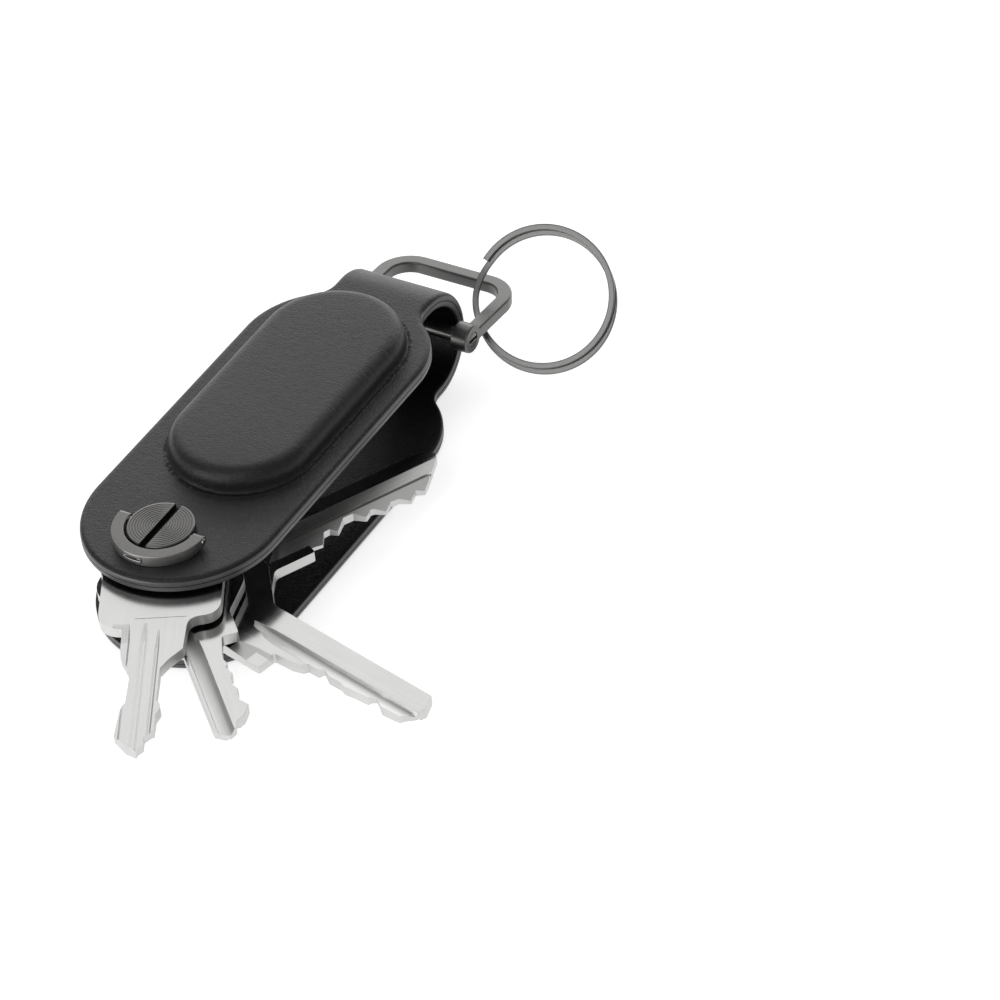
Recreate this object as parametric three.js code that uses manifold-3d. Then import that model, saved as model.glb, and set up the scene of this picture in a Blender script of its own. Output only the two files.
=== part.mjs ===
// Key organizer: a folded leather strap that clamps five keys on a barrel post, with a D-ring in its loop
// and a split ring in the D-ring. Millimetres, +Z up, +Y from the post towards the loop. The origin is on
// the post's axis, on the plane that the organizer rests on.
import * as THREE from 'three';
import { mergeVertices } from 'three/addons/utils/BufferGeometryUtils.js';
import Module from 'manifold-3d';

const wasm = await Module();
wasm.setup();

// Leather strap, seen from above
const PANEL_WIDTH = 38;
const NOSE_LENGTH = 19.8; // rounded near end, along the strap
const POST_TO_SIDES = 7.6; // post to the start of the straight sides
const SIDE_LENGTH = 52.4;
const LOWER_SETBACK = 1.4; // the lower panel's near end lies further in
const SHOULDER_RADIUS = 17;
const NECK_WIDTH = 20.6;
const NECK_FILLET = 5;
const POST_TO_BEND = 78.6; // post to the centre of the loop's bend

// Leather strap, through its thickness
const OUTER_THICKNESS = 1.5;
const LINING_THICKNESS = 1.25;
const GLUE_LINE = 0.05;

// Moulded pod on the upper panel
const POD_LENGTH = 60;
const POD_WIDTH = 28.8;
const POD_HEIGHT = 4.8;
const POD_EDGE_RADIUS = 4;
const POST_TO_POD = 14.4; // post to the pod's near end
const CORE_CLEARANCE = 0.05;

// Stack of keys and spacers on the post
const KEY_THICKNESS = 2.2;
const KEY_PLAY = 0.05; // free space on each face of a key
const SPACER_THICKNESS = 0.7;
const TOP_SPACER_THICKNESS = 0.6;
const BASE_SPACER_THICKNESS = 2;
const SPACER_WALL = 2.5;
const SHOULDER_ROUND = 0.6;
const BOW_ROUND = 8;

// Clamp screw and barrel post
const SCREW_RADIUS = 1.55;
const SCREW_LENGTH = 6; // shank below the head
const POST_WALL = 0.88;
const RUN_CLEARANCE = 0.07; // between a turning piece and what it turns on
const HOLE_CLEARANCE = 0.15; // between the post and the leather
const FLANGE_RADIUS = 6;
const FLANGE_THICKNESS = 1;
const POST_SHORTFALL = 0.3; // the post ends below the upper panel's face
const WASHER_RADIUS = 5.6;
const WASHER_THICKNESS = 0.4;
const HEAD_RADIUS = 6.4;
const HEAD_HEIGHT = 2;
const HEAD_SEAT = 0.02;
const SLOT_WIDTH = 1.5;
const SLOT_DEPTH = 1.1;
const RING_GROOVES = 11; // turned rings on the head
const RING_GROOVE_DEPTH = 0.12;

// Bail on the screw head
const BAIL_GAP = 0.5; // between the head and the bail
const BAIL_WIDTH = 2.1;
const BAIL_CLEARANCE = 0.02; // the bail is this much lower than the head
const BAIL_PIN_RADIUS = 0.55;
const BAIL_PIN_SEAT = 1.2; // pin inside the head
const NICK_WIDTH = 4;
const NICK_DEPTH = 0.5;
const NICK_HEIGHT = 0.5;
const NICK_HEADING = 232; // degrees from +X, in plan

// D-ring and its pin
const EYE_RADIUS = 2.75;
const EYE_LENGTH = 3.6;
const EYE_CLEARANCE = 1; // between the neck and each eye
const D_RING_SHIFT = 0.8; // the ring lies to one side of its play
const D_RING_LENGTH = 20.4; // pin to the outer face of the bar
const D_RING_CORNER = 7.2;
const BAR_WIDTH = 2.9;
const BAR_THICKNESS = 2.3;
const D_RING_TILT = -5.6; // degrees, from level
const PIN_RADIUS = 1.45;
const PIN_SEAT = 0.3; // between the pin and the inside of the loop
const PIN_SLOT_WIDTH = 0.6;
const PIN_SLOT_DEPTH = 0.6;

// Split ring
const RING_RADIUS = 14.2; // outside
const WIRE_WIDTH = 0.95; // across, in the ring's plane
const WIRE_THICKNESS = 0.9; // along the ring's axis
const WIRE_CORNER = 0.25;
const TURN_PITCH = 1.36; // from one turn to the next
const TURN_SHIFT = 1; // sideways from one turn to the next, as the ring has been sprung open
const WIRE_START = 146; // degrees, in the ring's plane
const CROSSOVER = 54; // degrees over which the wire changes from one turn to the other
const WIRE_STEPS_PER_TURN = 48;
const RING_HEADING = 16.6; // degrees, relative to the D-ring
const RING_LEAN = 36.6;
const RING_FROM_CORNER = [14.2, 2.6, 2.27]; // ring centre from the centre of the D-ring's corner arc

// Finishes
const LEATHER = { color: 0x2f2f30, roughness: 0.62, metalness: 0 };
const LINING = { color: 0x1d1d1e, roughness: 0.75, metalness: 0 };
const CORE = { color: 0x4a4a4a, roughness: 0.9, metalness: 0 };
const GUNMETAL = { color: 0x6b6a66, roughness: 0.35, metalness: 1 };
const STEEL = { color: 0x9c9c9a, roughness: 0.3, metalness: 1 };
const NICKEL = { color: 0xc9c9c6, roughness: 0.25, metalness: 1 };

// Each key lies along its heading, in degrees from +X. A side gives distances from the key's own axis:
// the bow's half width, where its flank runs in, the shoulder, its corner and fillet and the blade's edge,
// all outwards, and the cuts as [distance along the blade, depth]. The blade's upper face is milled to
// profiles across it, [offset, depth] from the low side to the high side; a depth below zero leaves the
// face as it is.
const KEYS = [
  {
    name: 'key_1',
    heading: -61.2,
    bowBack: 9,
    low: {
      bow: 11,
      shoulder: 11,
      shoulderAt: 21.6,
      corner: 5,
      edge: 6.3,
      cuts: [
        [26.2, 0], [29.3, 0.3], [30.9, 1.1], [32.8, 1.9], [33.6, 2.4], [41.8, 2.1], [42.8, 1.2], [49.7, 0.6],
      ],
    },
    high: {
      bow: 11.4,
      shoulder: 11.4,
      shoulderAt: 19.2,
      fillet: 2.8,
      edge: 5.6,
      cuts: [
        [27.9, 0.4], [30.4, 2.6], [32.9, 4.2], [41.4, 4.3], [42.2, 3.6],
        [43.4, 3.4], [45.1, 4.1], [49.2, 4.2], [50.8, 5.8],
      ],
    },
    tip: [[52.8, -3.5], [54.2, -1.5], [53, -0.2]],
    milling: [
      { start: 20.5, profile: [[-8, 0.5], [-5, 0.5], [-4.5, -0.05]] },
      { start: 20.5, profile: [[-2.8, -0.05], [-2.2, 0.3], [-1.8, 0.3], [-1.2, -0.05]] },
      { start: 22.5, profile: [[0, -0.05], [0.4, 0.25], [0.6, 0.25], [1, -0.05]] },
    ],
  },
  {
    name: 'key_2',
    heading: -43.3,
    bowBack: 10,
    low: { bow: 12.2, flank: [9, 19.5], shoulder: 7.2, shoulderAt: 25, edge: 3.5, cuts: [[47.2, 0.1]] },
    high: {
      bow: 12.2,
      flank: [10.5, 18],
      shoulder: 7.4,
      shoulderAt: 24.4,
      edge: 4.2,
      cuts: [
        [29.5, 1.2], [30.6, 1.2], [31.7, 0.8], [32.7, 1.4], [34.7, 0.6], [36.2, 1.5], [37.6, 1.4],
        [39.1, 0.7], [40.3, 1.3], [42, 1.2], [43.8, 0], [46.1, 1.3], [47.6, 3.3],
      ],
    },
    tip: [[48, -3.3], [49.9, -0.8], [48.9, 0.6]],
    milling: [
      {
        start: 19.5,
        profile: [
          [-8, 0.3], [-2.8, 0.3], [-2.6, 0.75], [-2, 0.88], [-1.3, 0.82], [-0.6, 0.6], [-0.1, 0.3],
          [0.25, -0.05],
        ],
      },
    ],
  },
  {
    name: 'key_3',
    heading: -13.5,
    bowBack: 10,
    low: {
      bow: 13,
      flank: [11.5, 21],
      shoulder: 7.7,
      shoulderAt: 31.4,
      edge: 3.6,
      cuts: [
        [35.7, 0.2], [37.8, 0.9], [38.3, 1.8], [40.5, 1.8], [41.7, 2.6], [43.6, 1.8], [46.5, 1.9], [47.6, 1.5],
        [50.3, 1.9], [53.1, 2.1], [54.3, 3.1], [56.8, 1.8], [59.6, 2], [61.2, 2.2],
      ],
    },
    high: { bow: 13.4, flank: [12.6, 22], shoulder: 5.8, edge: 5.8, cuts: [[62, 0]] },
    tip: [[63, 0.6], [63.6, 2.6]],
    milling: [
      { start: 22.2, profile: [[-2.2, -0.05], [-0.9, 0.3], [-0.7, 0.55], [0.6, 0.75], [1.1, -0.05]] },
      { start: 23.6, profile: [[-9, 0.55], [-5.1, 0.5], [-4.2, -0.05]] },
    ],
  },
  {
    name: 'key_4',
    heading: 62.2,
    bowBack: 10,
    low: {
      bow: 15,
      flank: [12.6, 17.4],
      shoulder: 8.4,
      shoulderAt: 26.2,
      edge: 6,
      cuts: [
        [27.2, 0.3], [29.1, 0], [30.7, 2.2], [32, 2.3], [33.2, 1.15], [35.6, 3.2], [37.7, 3.15], [39.5, 1.3],
        [41, 2.35], [41.8, 2.15], [43.4, 0.65], [45.3, 2.05], [47, 1.9], [48.8, 0.45], [50.8, 2], [52.3, 1.1],
        [54, 2.5], [55.5, 4], [57, 5.3],
      ],
    },
    high: { bow: 12, flank: [10, 20], shoulder: 6, shoulderAt: 26, edge: 4.4, cuts: [[56.3, 0]] },
    tip: [[58.3, 0.6], [59.4, 2.2]],
    milling: [
      {
        start: 17.5,
        profile: [[-6.1, -0.05], [-6.05, 1.5], [-2.45, 0.3], [-2.4, 1], [-1.7, 1], [-1.65, 0.4], [1.35, -0.05]],
      },
    ],
  },
  {
    name: 'key_5',
    heading: 68.7,
    bowBack: 10,
    low: {
      bow: 15,
      flank: [12.3, 18.5],
      shoulder: 5.6,
      shoulderAt: 26,
      edge: 3,
      cuts: [[29, 0.2], [31, 1.2], [34, 0.6], [37, 1.4], [40, 0.7], [43, 1.2]],
    },
    high: { bow: 10, flank: [10, 18], shoulder: 5, shoulderAt: 26, edge: 2.6, cuts: [[44.5, 0]] },
    tip: [[46.5, -0.6], [46.5, 0.8]],
    milling: [{ start: 22, profile: [[-8, 0.7], [-1.2, 0.4], [-0.8, -0.05]] }],
  },
];
// The underside of every blade has the same groove.
const UNDERSIDE = { start: 24, profile: [[-1.6, -0.05], [-1.1, 0.5], [1.1, 0.5], [1.6, -0.05]] };
const MILL_RUN_OUT = 7; // length over which the cutter leaves the blade

// Heights and radii worked out from the sizes above
const panelThickness = OUTER_THICKNESS + GLUE_LINE + LINING_THICKNESS;
const keyPitch = KEY_THICKNESS + 2 * KEY_PLAY + SPACER_THICKNESS;
const stackHeight = BASE_SPACER_THICKNESS + KEYS.length * keyPitch - SPACER_THICKNESS + TOP_SPACER_THICKNESS;
const topFace = 2 * panelThickness + stackHeight;
const stackBase = panelThickness + BASE_SPACER_THICKNESS;
const boreRadius = SCREW_RADIUS + RUN_CLEARANCE;
const postRadius = boreRadius + POST_WALL;
const headBase = topFace + WASHER_THICKNESS + HEAD_SEAT;
const bailAxis = headBase + HEAD_HEIGHT / 2;
const bailHalf = HEAD_HEIGHT / 2 - BAIL_CLEARANCE;
const bailInner = HEAD_RADIUS + BAIL_GAP;
const bailOuter = bailInner + BAIL_WIDTH;
const bendInner = stackHeight / 2;
const pinHeight = topFace / 2;
const pinAt = POST_TO_BEND + bendInner - PIN_RADIUS - PIN_SEAT;
const dRingHalf = NECK_WIDTH / 2 + EYE_CLEARANCE + EYE_LENGTH;
const ROUND_SEGMENTS = 48;
const CURVE_SEGMENTS = 16;
const KEY_SEGMENTS = 10; // per rounded corner of a key
const POD_EDGE_STEPS = 5;
const MILL_STEPS = 3;
const CUT = 1; // how far a cutter reaches past the face it cuts

const radians = THREE.MathUtils.degToRad;

function solid(geometry) {
  geometry.deleteAttribute('normal');
  geometry.deleteAttribute('uv');
  const merged = mergeVertices(geometry, 1e-5);
  const mesh = new wasm.Mesh({
    numProp: 3,
    vertProperties: new Float32Array(merged.attributes.position.array),
    triVerts: new Uint32Array(merged.index.array),
  });
  return new wasm.Manifold(mesh);
}

function surface(manifold) {
  const mesh = manifold.getMesh();
  const geometry = new THREE.BufferGeometry();
  geometry.setAttribute('position', new THREE.BufferAttribute(new Float32Array(mesh.vertProperties), 3));
  geometry.setIndex(new THREE.BufferAttribute(new Uint32Array(mesh.triVerts), 1));
  const flat = geometry.toNonIndexed();
  flat.computeVertexNormals();
  return flat;
}

function prism(shape, from, to, segments = CURVE_SEGMENTS) {
  const geometry = new THREE.ExtrudeGeometry(shape, {
    depth: to - from,
    bevelEnabled: false,
    curveSegments: segments,
  });
  return geometry.translate(0, 0, from);
}

function box(xs, ys, zs) {
  const geometry = new THREE.BoxGeometry(xs[1] - xs[0], ys[1] - ys[0], zs[1] - zs[0]);
  return geometry.translate((xs[0] + xs[1]) / 2, (ys[0] + ys[1]) / 2, (zs[0] + zs[1]) / 2);
}

function upright(radius, from, to) {
  const geometry = new THREE.CylinderGeometry(radius, radius, to - from, ROUND_SEGMENTS);
  return geometry.rotateX(Math.PI / 2).translate(0, 0, (from + to) / 2);
}

function crosswise(radius, from, to) {
  const geometry = new THREE.CylinderGeometry(radius, radius, to - from, ROUND_SEGMENTS / 2);
  return geometry.rotateZ(-Math.PI / 2).translate((from + to) / 2, 0, 0);
}

function ring(inner, outer, from, to) {
  const shape = new THREE.Shape();
  shape.absarc(0, 0, outer, 0, 2 * Math.PI, false);
  const hole = new THREE.Path();
  hole.absarc(0, 0, inner, 0, 2 * Math.PI, true);
  shape.holes.push(hole);
  return prism(shape, from, to, ROUND_SEGMENTS / 2);
}

// Closed skin through a row of like sections, whose ends are closed with the given triangles
function loft(sections, cap) {
  const sides = sections[0].length;
  const last = (sections.length - 1) * sides;
  const positions = sections.flat().flatMap((p) => [p.x, p.y, p.z]);
  const index = [];
  for (let base = 0; base < last; base += sides) {
    for (let j = 0; j < sides; j += 1) {
      const a = base + j;
      const b = base + ((j + 1) % sides);
      index.push(a, b, a + sides, b, b + sides, a + sides);
    }
  }
  cap.forEach(([a, b, c]) => index.push(a, c, b, last + a, last + b, last + c));
  const geometry = new THREE.BufferGeometry();
  geometry.setAttribute('position', new THREE.Float32BufferAttribute(positions, 3));
  geometry.setIndex(index);
  const flat = geometry.toNonIndexed();
  flat.computeVertexNormals();
  return flat;
}

// A closed outline through corners [x, y, rounding]
function roundedShape(corners) {
  const shape = new THREE.Shape();
  const place = (i) => {
    const [x, y] = corners[(i + corners.length) % corners.length];
    return new THREE.Vector2(x, y);
  };
  const goTo = (point, first) => (first ? shape.moveTo(point.x, point.y) : shape.lineTo(point.x, point.y));
  corners.forEach(([x, y, rounding = 0], i) => {
    const corner = place(i);
    if (rounding === 0) {
      goTo(corner, i === 0);
      return;
    }
    const back = place(i - 1).sub(corner).normalize();
    const ahead = place(i + 1).sub(corner).normalize();
    const reach = rounding / Math.tan(back.angleTo(ahead) / 2);
    goTo(corner.clone().addScaledVector(back, reach), i === 0);
    const end = corner.clone().addScaledVector(ahead, reach);
    shape.quadraticCurveTo(x, y, end.x, end.y);
  });
  shape.closePath();
  return shape;
}

// Plan of one panel with its neck, which runs past the loop's bend
function panelOutline(setback) {
  const half = PANEL_WIDTH / 2;
  const neck = NECK_WIDTH / 2;
  const sidesFrom = POST_TO_SIDES + setback;
  const shoulderAt = POST_TO_SIDES + SIDE_LENGTH;
  const shoulderX = half - SHOULDER_RADIUS;
  const filletX = neck + NECK_FILLET;
  const reach = SHOULDER_RADIUS + NECK_FILLET;
  const filletY = shoulderAt + Math.sqrt(reach ** 2 - (filletX - shoulderX) ** 2);
  const turn = Math.atan2(filletY - shoulderAt, filletX - shoulderX);
  const neckEnd = POST_TO_BEND + topFace;
  const shape = new THREE.Shape();
  shape.moveTo(half, sidesFrom);
  shape.lineTo(half, shoulderAt);
  shape.absarc(shoulderX, shoulderAt, SHOULDER_RADIUS, 0, turn, false);
  shape.absarc(filletX, filletY, NECK_FILLET, turn - Math.PI, -Math.PI, true);
  shape.lineTo(neck, neckEnd);
  shape.lineTo(-neck, neckEnd);
  shape.absarc(-filletX, filletY, NECK_FILLET, 0, -turn, true);
  shape.absarc(-shoulderX, shoulderAt, SHOULDER_RADIUS, Math.PI - turn, Math.PI, false);
  shape.lineTo(-half, sidesFrom);
  shape.absellipse(0, sidesFrom, half, NOSE_LENGTH, Math.PI, 2 * Math.PI, false);
  return shape;
}

// One layer of the folded strap: a hairpin between two depths below its outside face, cut to the plan
function strapLayer(outside, inside) {
  const outer = topFace / 2 - outside;
  const inner = topFace / 2 - inside;
  const start = -2 * NOSE_LENGTH;
  const shape = new THREE.Shape();
  shape.moveTo(start, -outer);
  shape.lineTo(POST_TO_BEND, -outer);
  shape.absarc(POST_TO_BEND, 0, outer, -Math.PI / 2, Math.PI / 2, false);
  shape.lineTo(start, outer);
  shape.lineTo(start, inner);
  shape.lineTo(POST_TO_BEND, inner);
  shape.absarc(POST_TO_BEND, 0, inner, Math.PI / 2, -Math.PI / 2, true);
  shape.lineTo(start, -inner);
  const band = prism(shape, -PANEL_WIDTH, PANEL_WIDTH);
  const across = new THREE.Matrix4().makeBasis(
    new THREE.Vector3(0, 1, 0),
    new THREE.Vector3(0, 0, 1),
    new THREE.Vector3(1, 0, 0),
  );
  band.applyMatrix4(across).translate(0, 0, topFace / 2);
  const upper = solid(prism(panelOutline(0), topFace / 2, topFace + CUT));
  const lower = solid(prism(panelOutline(LOWER_SETBACK), -CUT, topFace / 2));
  return solid(band).intersect(upper.add(lower));
}

// Pill with a rounded upper edge, standing on the given height
function pill(inset, from, to) {
  const edge = POD_EDGE_RADIUS - Math.min(inset, POD_EDGE_RADIUS / 2);
  const radius = POD_WIDTH / 2 - inset - edge;
  const near = POST_TO_POD + POD_WIDTH / 2;
  const far = POST_TO_POD + POD_LENGTH - POD_WIDTH / 2;
  const shape = new THREE.Shape();
  shape.absarc(0, far, radius, 0, Math.PI, false);
  shape.absarc(0, near, radius, Math.PI, 2 * Math.PI, false);
  const height = to - from;
  const geometry = new THREE.ExtrudeGeometry(shape, {
    depth: height,
    bevelSize: edge,
    bevelThickness: edge,
    bevelSegments: POD_EDGE_STEPS,
    curveSegments: CURVE_SEGMENTS,
  });
  geometry.translate(0, 0, to - height - edge);
  const keep = box([-PANEL_WIDTH, PANEL_WIDTH], [0, 2 * POD_LENGTH], [from, to + CUT]);
  return solid(geometry).intersect(solid(keep));
}

function leatherOuter() {
  const podTop = topFace + POD_HEIGHT;
  const skinBase = topFace - OUTER_THICKNESS;
  const skin = pill(0, skinBase + OUTER_THICKNESS / 2, podTop);
  const cavity = pill(OUTER_THICKNESS, skinBase - GLUE_LINE / 2, podTop - OUTER_THICKNESS);
  const postHole = upright(postRadius + HOLE_CLEARANCE, -CUT, topFace + CUT);
  const flangePocket = upright(FLANGE_RADIUS + HOLE_CLEARANCE, -CUT, FLANGE_THICKNESS);
  return strapLayer(0, OUTER_THICKNESS)
    .add(skin)
    .subtract(cavity)
    .subtract(solid(postHole))
    .subtract(solid(flangePocket));
}

function leatherLining() {
  const postHole = upright(postRadius + HOLE_CLEARANCE, -CUT, topFace + CUT);
  return strapLayer(OUTER_THICKNESS + GLUE_LINE, panelThickness).subtract(solid(postHole));
}

function podCore() {
  const inset = OUTER_THICKNESS + CORE_CLEARANCE;
  return pill(inset, topFace - OUTER_THICKNESS, topFace + POD_HEIGHT - inset);
}

function barrelPost() {
  const top = topFace - POST_SHORTFALL;
  const flange = solid(upright(FLANGE_RADIUS, 0, FLANGE_THICKNESS));
  const barrel = solid(upright(postRadius, 0, top));
  const bore = solid(upright(boreRadius, FLANGE_THICKNESS, topFace + CUT));
  return flange.add(barrel).subtract(bore);
}

function washer(from, thickness) {
  const inner = postRadius + RUN_CLEARANCE;
  return ring(inner, inner + SPACER_WALL, from, from + thickness);
}

// Turned head with concentric grooves and a coin slot, on a plain shank
function clampScrew() {
  const top = headBase + HEAD_HEIGHT;
  const profile = [[0, headBase - SCREW_LENGTH], [SCREW_RADIUS, headBase - SCREW_LENGTH]];
  profile.push([SCREW_RADIUS, headBase], [HEAD_RADIUS, headBase], [HEAD_RADIUS, top]);
  const spacing = HEAD_RADIUS / (RING_GROOVES + 1);
  for (let i = RING_GROOVES; i > 0; i -= 1) {
    const radius = i * spacing;
    profile.push([radius + spacing / 3, top], [radius, top - RING_GROOVE_DEPTH]);
  }
  profile.push([spacing / 3, top], [0, top]);
  const points = profile.map(([radius, height]) => new THREE.Vector2(radius, height));
  const turned = new THREE.LatheGeometry(points, ROUND_SEGMENTS).rotateX(Math.PI / 2);
  const slot = box(
    [-SLOT_WIDTH / 2, SLOT_WIDTH / 2],
    [-HEAD_RADIUS - CUT, HEAD_RADIUS + CUT],
    [top - SLOT_DEPTH, top + CUT],
  );
  let screw = solid(turned).subtract(solid(slot));
  const holeFrom = HEAD_RADIUS - BAIL_PIN_SEAT;
  for (const [from, to] of [[holeFrom, HEAD_RADIUS + CUT], [-HEAD_RADIUS - CUT, -holeFrom]]) {
    const hole = crosswise(BAIL_PIN_RADIUS + RUN_CLEARANCE, from, to).translate(0, 0, bailAxis);
    screw = screw.subtract(solid(hole));
  }
  return screw;
}

// Half ring whose two ends are round about the hinge axis
function bail() {
  const low = bailAxis - bailHalf;
  const high = bailAxis + bailHalf;
  const nearSide = box([-bailOuter, bailOuter], [-bailOuter - CUT, 0], [low - CUT, high + CUT]);
  let half = solid(ring(bailInner, bailOuter, low, high)).intersect(solid(nearSide));
  const bosses = [[bailInner, bailOuter], [-bailOuter, -bailInner]];
  for (const [from, to] of bosses) {
    half = half.add(solid(crosswise(bailHalf, from, to).translate(0, 0, bailAxis)));
  }
  for (const [from, to] of bosses) {
    const hole = crosswise(BAIL_PIN_RADIUS + RUN_CLEARANCE, from - CUT, to + CUT);
    half = half.subtract(solid(hole.translate(0, 0, bailAxis)));
  }
  const nick = box(
    [bailOuter - NICK_DEPTH, bailOuter + CUT],
    [-NICK_WIDTH / 2, NICK_WIDTH / 2],
    [bailAxis - NICK_HEIGHT, bailAxis],
  );
  return half.subtract(solid(nick.rotateZ(radians(NICK_HEADING))));
}

function bailPin(side) {
  const inner = HEAD_RADIUS - BAIL_PIN_SEAT + RUN_CLEARANCE;
  const pin = crosswise(BAIL_PIN_RADIUS, inner, bailOuter).translate(0, 0, bailAxis);
  return side > 0 ? pin : pin.rotateZ(Math.PI);
}

// Corners of one side of a key, from the back of its bow to the end of its cuts
function keySide(key, side, sign) {
  const corners = [[-key.bowBack, sign * side.bow, BOW_ROUND]];
  if (side.flank) {
    corners.push([side.flank[0], sign * side.bow, BOW_ROUND / 2]);
    corners.push([side.flank[1], sign * side.shoulder, BOW_ROUND / 4]);
  }
  if (side.shoulder > side.edge) {
    const rounding = side.corner ?? (side.flank ? SHOULDER_ROUND : BOW_ROUND / 2);
    corners.push([side.shoulderAt, sign * side.shoulder, rounding]);
    corners.push([side.shoulderAt, sign * side.edge, side.fillet ?? SHOULDER_ROUND]);
  }
  side.cuts.forEach(([at, depth]) => corners.push([at, sign * (side.edge - depth)]));
  return corners;
}

// What a profile cutter takes from a flat face at height 0, from its run-out to the end of the blade
function millCutter({ start, profile }, end) {
  const deepest = Math.max(...profile.map(([, depth]) => depth));
  const contour = profile.map(([offset, depth]) => new THREE.Vector2(offset, -depth));
  const above = deepest + CUT;
  contour.push(new THREE.Vector2(contour.at(-1).x, above), new THREE.Vector2(contour[0].x, above));
  const stations = [];
  for (let i = 0; i <= MILL_STEPS; i += 1) {
    const left = 1 - i / MILL_STEPS;
    stations.push([start + MILL_RUN_OUT * (1 - left), deepest * left ** 2]);
  }
  stations.push([end, 0]);
  const sections = stations.map(([at, lift]) => contour.map((p) => new THREE.Vector3(at, p.x, p.y + lift)));
  return loft(sections, THREE.ShapeUtils.triangulateShape(contour, []));
}

function flatKey(key) {
  const low = keySide(key, key.low, -1);
  const high = keySide(key, key.high, 1).reverse();
  const outline = roundedShape([...low, ...key.tip, ...high]);
  const hole = new THREE.Path();
  hole.absarc(0, 0, postRadius + RUN_CLEARANCE, 0, 2 * Math.PI, true);
  outline.holes.push(hole);
  let blank = solid(prism(outline, 0, KEY_THICKNESS, KEY_SEGMENTS));
  const end = Math.max(...key.tip.map(([at]) => at)) + CUT;
  key.milling.forEach((face) => {
    blank = blank.subtract(solid(millCutter(face, end).translate(0, 0, KEY_THICKNESS)));
  });
  return blank.subtract(solid(millCutter(UNDERSIDE, end).rotateX(Math.PI)));
}

// D-ring in its own plane: x across, y away from the pin
function dRing() {
  const outline = (half, length, corner, end) => {
    const shape = new THREE.Shape();
    shape.moveTo(half, end);
    shape.lineTo(half, length - corner);
    shape.absarc(half - corner, length - corner, corner, 0, Math.PI / 2, false);
    shape.absarc(corner - half, length - corner, corner, Math.PI / 2, Math.PI, false);
    shape.lineTo(-half, end);
    return shape;
  };
  const half = BAR_THICKNESS / 2;
  const outer = outline(dRingHalf, D_RING_LENGTH, D_RING_CORNER, 0);
  const inner = outline(dRingHalf - BAR_WIDTH, D_RING_LENGTH - BAR_WIDTH, D_RING_CORNER - BAR_WIDTH, -CUT);
  let bar = solid(prism(outer, -half, half)).subtract(solid(prism(inner, -half - CUT, half + CUT)));
  const eyes = [[dRingHalf - EYE_LENGTH, dRingHalf], [-dRingHalf, EYE_LENGTH - dRingHalf]];
  for (const [from, to] of eyes) {
    bar = bar.add(solid(crosswise(EYE_RADIUS, from, to)));
  }
  const bore = crosswise(PIN_RADIUS + RUN_CLEARANCE, -dRingHalf - CUT, dRingHalf + CUT);
  return bar.subtract(solid(bore));
}

function loopPin() {
  const rod = crosswise(PIN_RADIUS, -dRingHalf, dRingHalf);
  const half = PIN_SLOT_WIDTH / 2;
  const slot = box([dRingHalf - PIN_SLOT_DEPTH, dRingHalf + CUT], [-EYE_RADIUS, EYE_RADIUS], [-half, half]);
  return solid(rod).subtract(solid(slot));
}

// Stations of the split ring's wire: one turn on the front, a crossover, and one turn on the back
function splitRingStations() {
  const overlap = 360 - CROSSOVER;
  const total = 2 * overlap + CROSSOVER;
  const steps = Math.round((total / 360) * WIRE_STEPS_PER_TURN);
  const corner = [WIRE_WIDTH / 2, WIRE_THICKNESS / 2];
  const stations = [];
  for (let i = 0; i <= steps; i += 1) {
    const travel = (i / steps) * total;
    const angle = radians(WIRE_START - travel);
    const across = THREE.MathUtils.smoothstep(travel, overlap, overlap + CROSSOVER);
    const height = TURN_PITCH * (0.5 - across);
    const shift = TURN_SHIFT * (0.5 - across);
    const section = [];
    for (const [a, b] of [[1, 1], [-1, 1], [-1, -1], [1, -1]]) {
      const cut = WIRE_CORNER;
      const pair = [[corner[0], corner[1] - cut], [corner[0] - cut, corner[1]]];
      const ordered = a * b > 0 ? pair : pair.reverse();
      ordered.forEach(([w, t]) => {
        const radius = RING_RADIUS - WIRE_WIDTH / 2 + a * w;
        const place = [radius * Math.cos(angle), radius * Math.sin(angle) + shift, height + b * t];
        section.push(new THREE.Vector3(...place));
      });
    }
    stations.push(section);
  }
  return stations;
}

function leastGap(stations) {
  const apart = WIRE_STEPS_PER_TURN / 4;
  let least = Infinity;
  stations.forEach((section, i) => {
    stations.slice(i + apart).forEach((other) => {
      section.forEach((p) => other.forEach((q) => {
        least = Math.min(least, p.distanceTo(q));
      }));
    });
  });
  return least;
}

function splitRing() {
  const stations = splitRingStations();
  console.log(`split_ring: least gap of the wire to itself ${leastGap(stations).toFixed(2)} mm`);
  const fan = stations[0].slice(2).map((_, i) => [0, i + 1, i + 2]);
  return loft(stations, fan);
}

const organizer = new THREE.Group();

function piece(name, shape, finish, parent = organizer) {
  const geometry = shape instanceof THREE.BufferGeometry ? shape : surface(shape);
  const mesh = new THREE.Mesh(geometry, new THREE.MeshStandardMaterial(finish));
  mesh.name = name;
  parent.add(mesh);
  return mesh;
}

piece('leather_outer', leatherOuter(), LEATHER);
piece('leather_lining', leatherLining(), LINING);
piece('pod_core', podCore(), CORE);
piece('barrel_post', barrelPost(), GUNMETAL);

piece('spacer_base', washer(panelThickness, BASE_SPACER_THICKNESS), STEEL);
KEYS.forEach((key, i) => {
  const level = stackBase + (KEYS.length - 1 - i) * keyPitch + KEY_PLAY;
  const mesh = piece(key.name, flatKey(key), NICKEL);
  mesh.position.z = level;
  mesh.rotation.z = radians(key.heading);
  const above = level + KEY_THICKNESS + KEY_PLAY;
  if (i === 0) {
    piece('spacer_top', washer(above, TOP_SPACER_THICKNESS), STEEL);
  } else {
    piece(`spacer_${i}`, washer(above, SPACER_THICKNESS), STEEL);
  }
});

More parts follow.
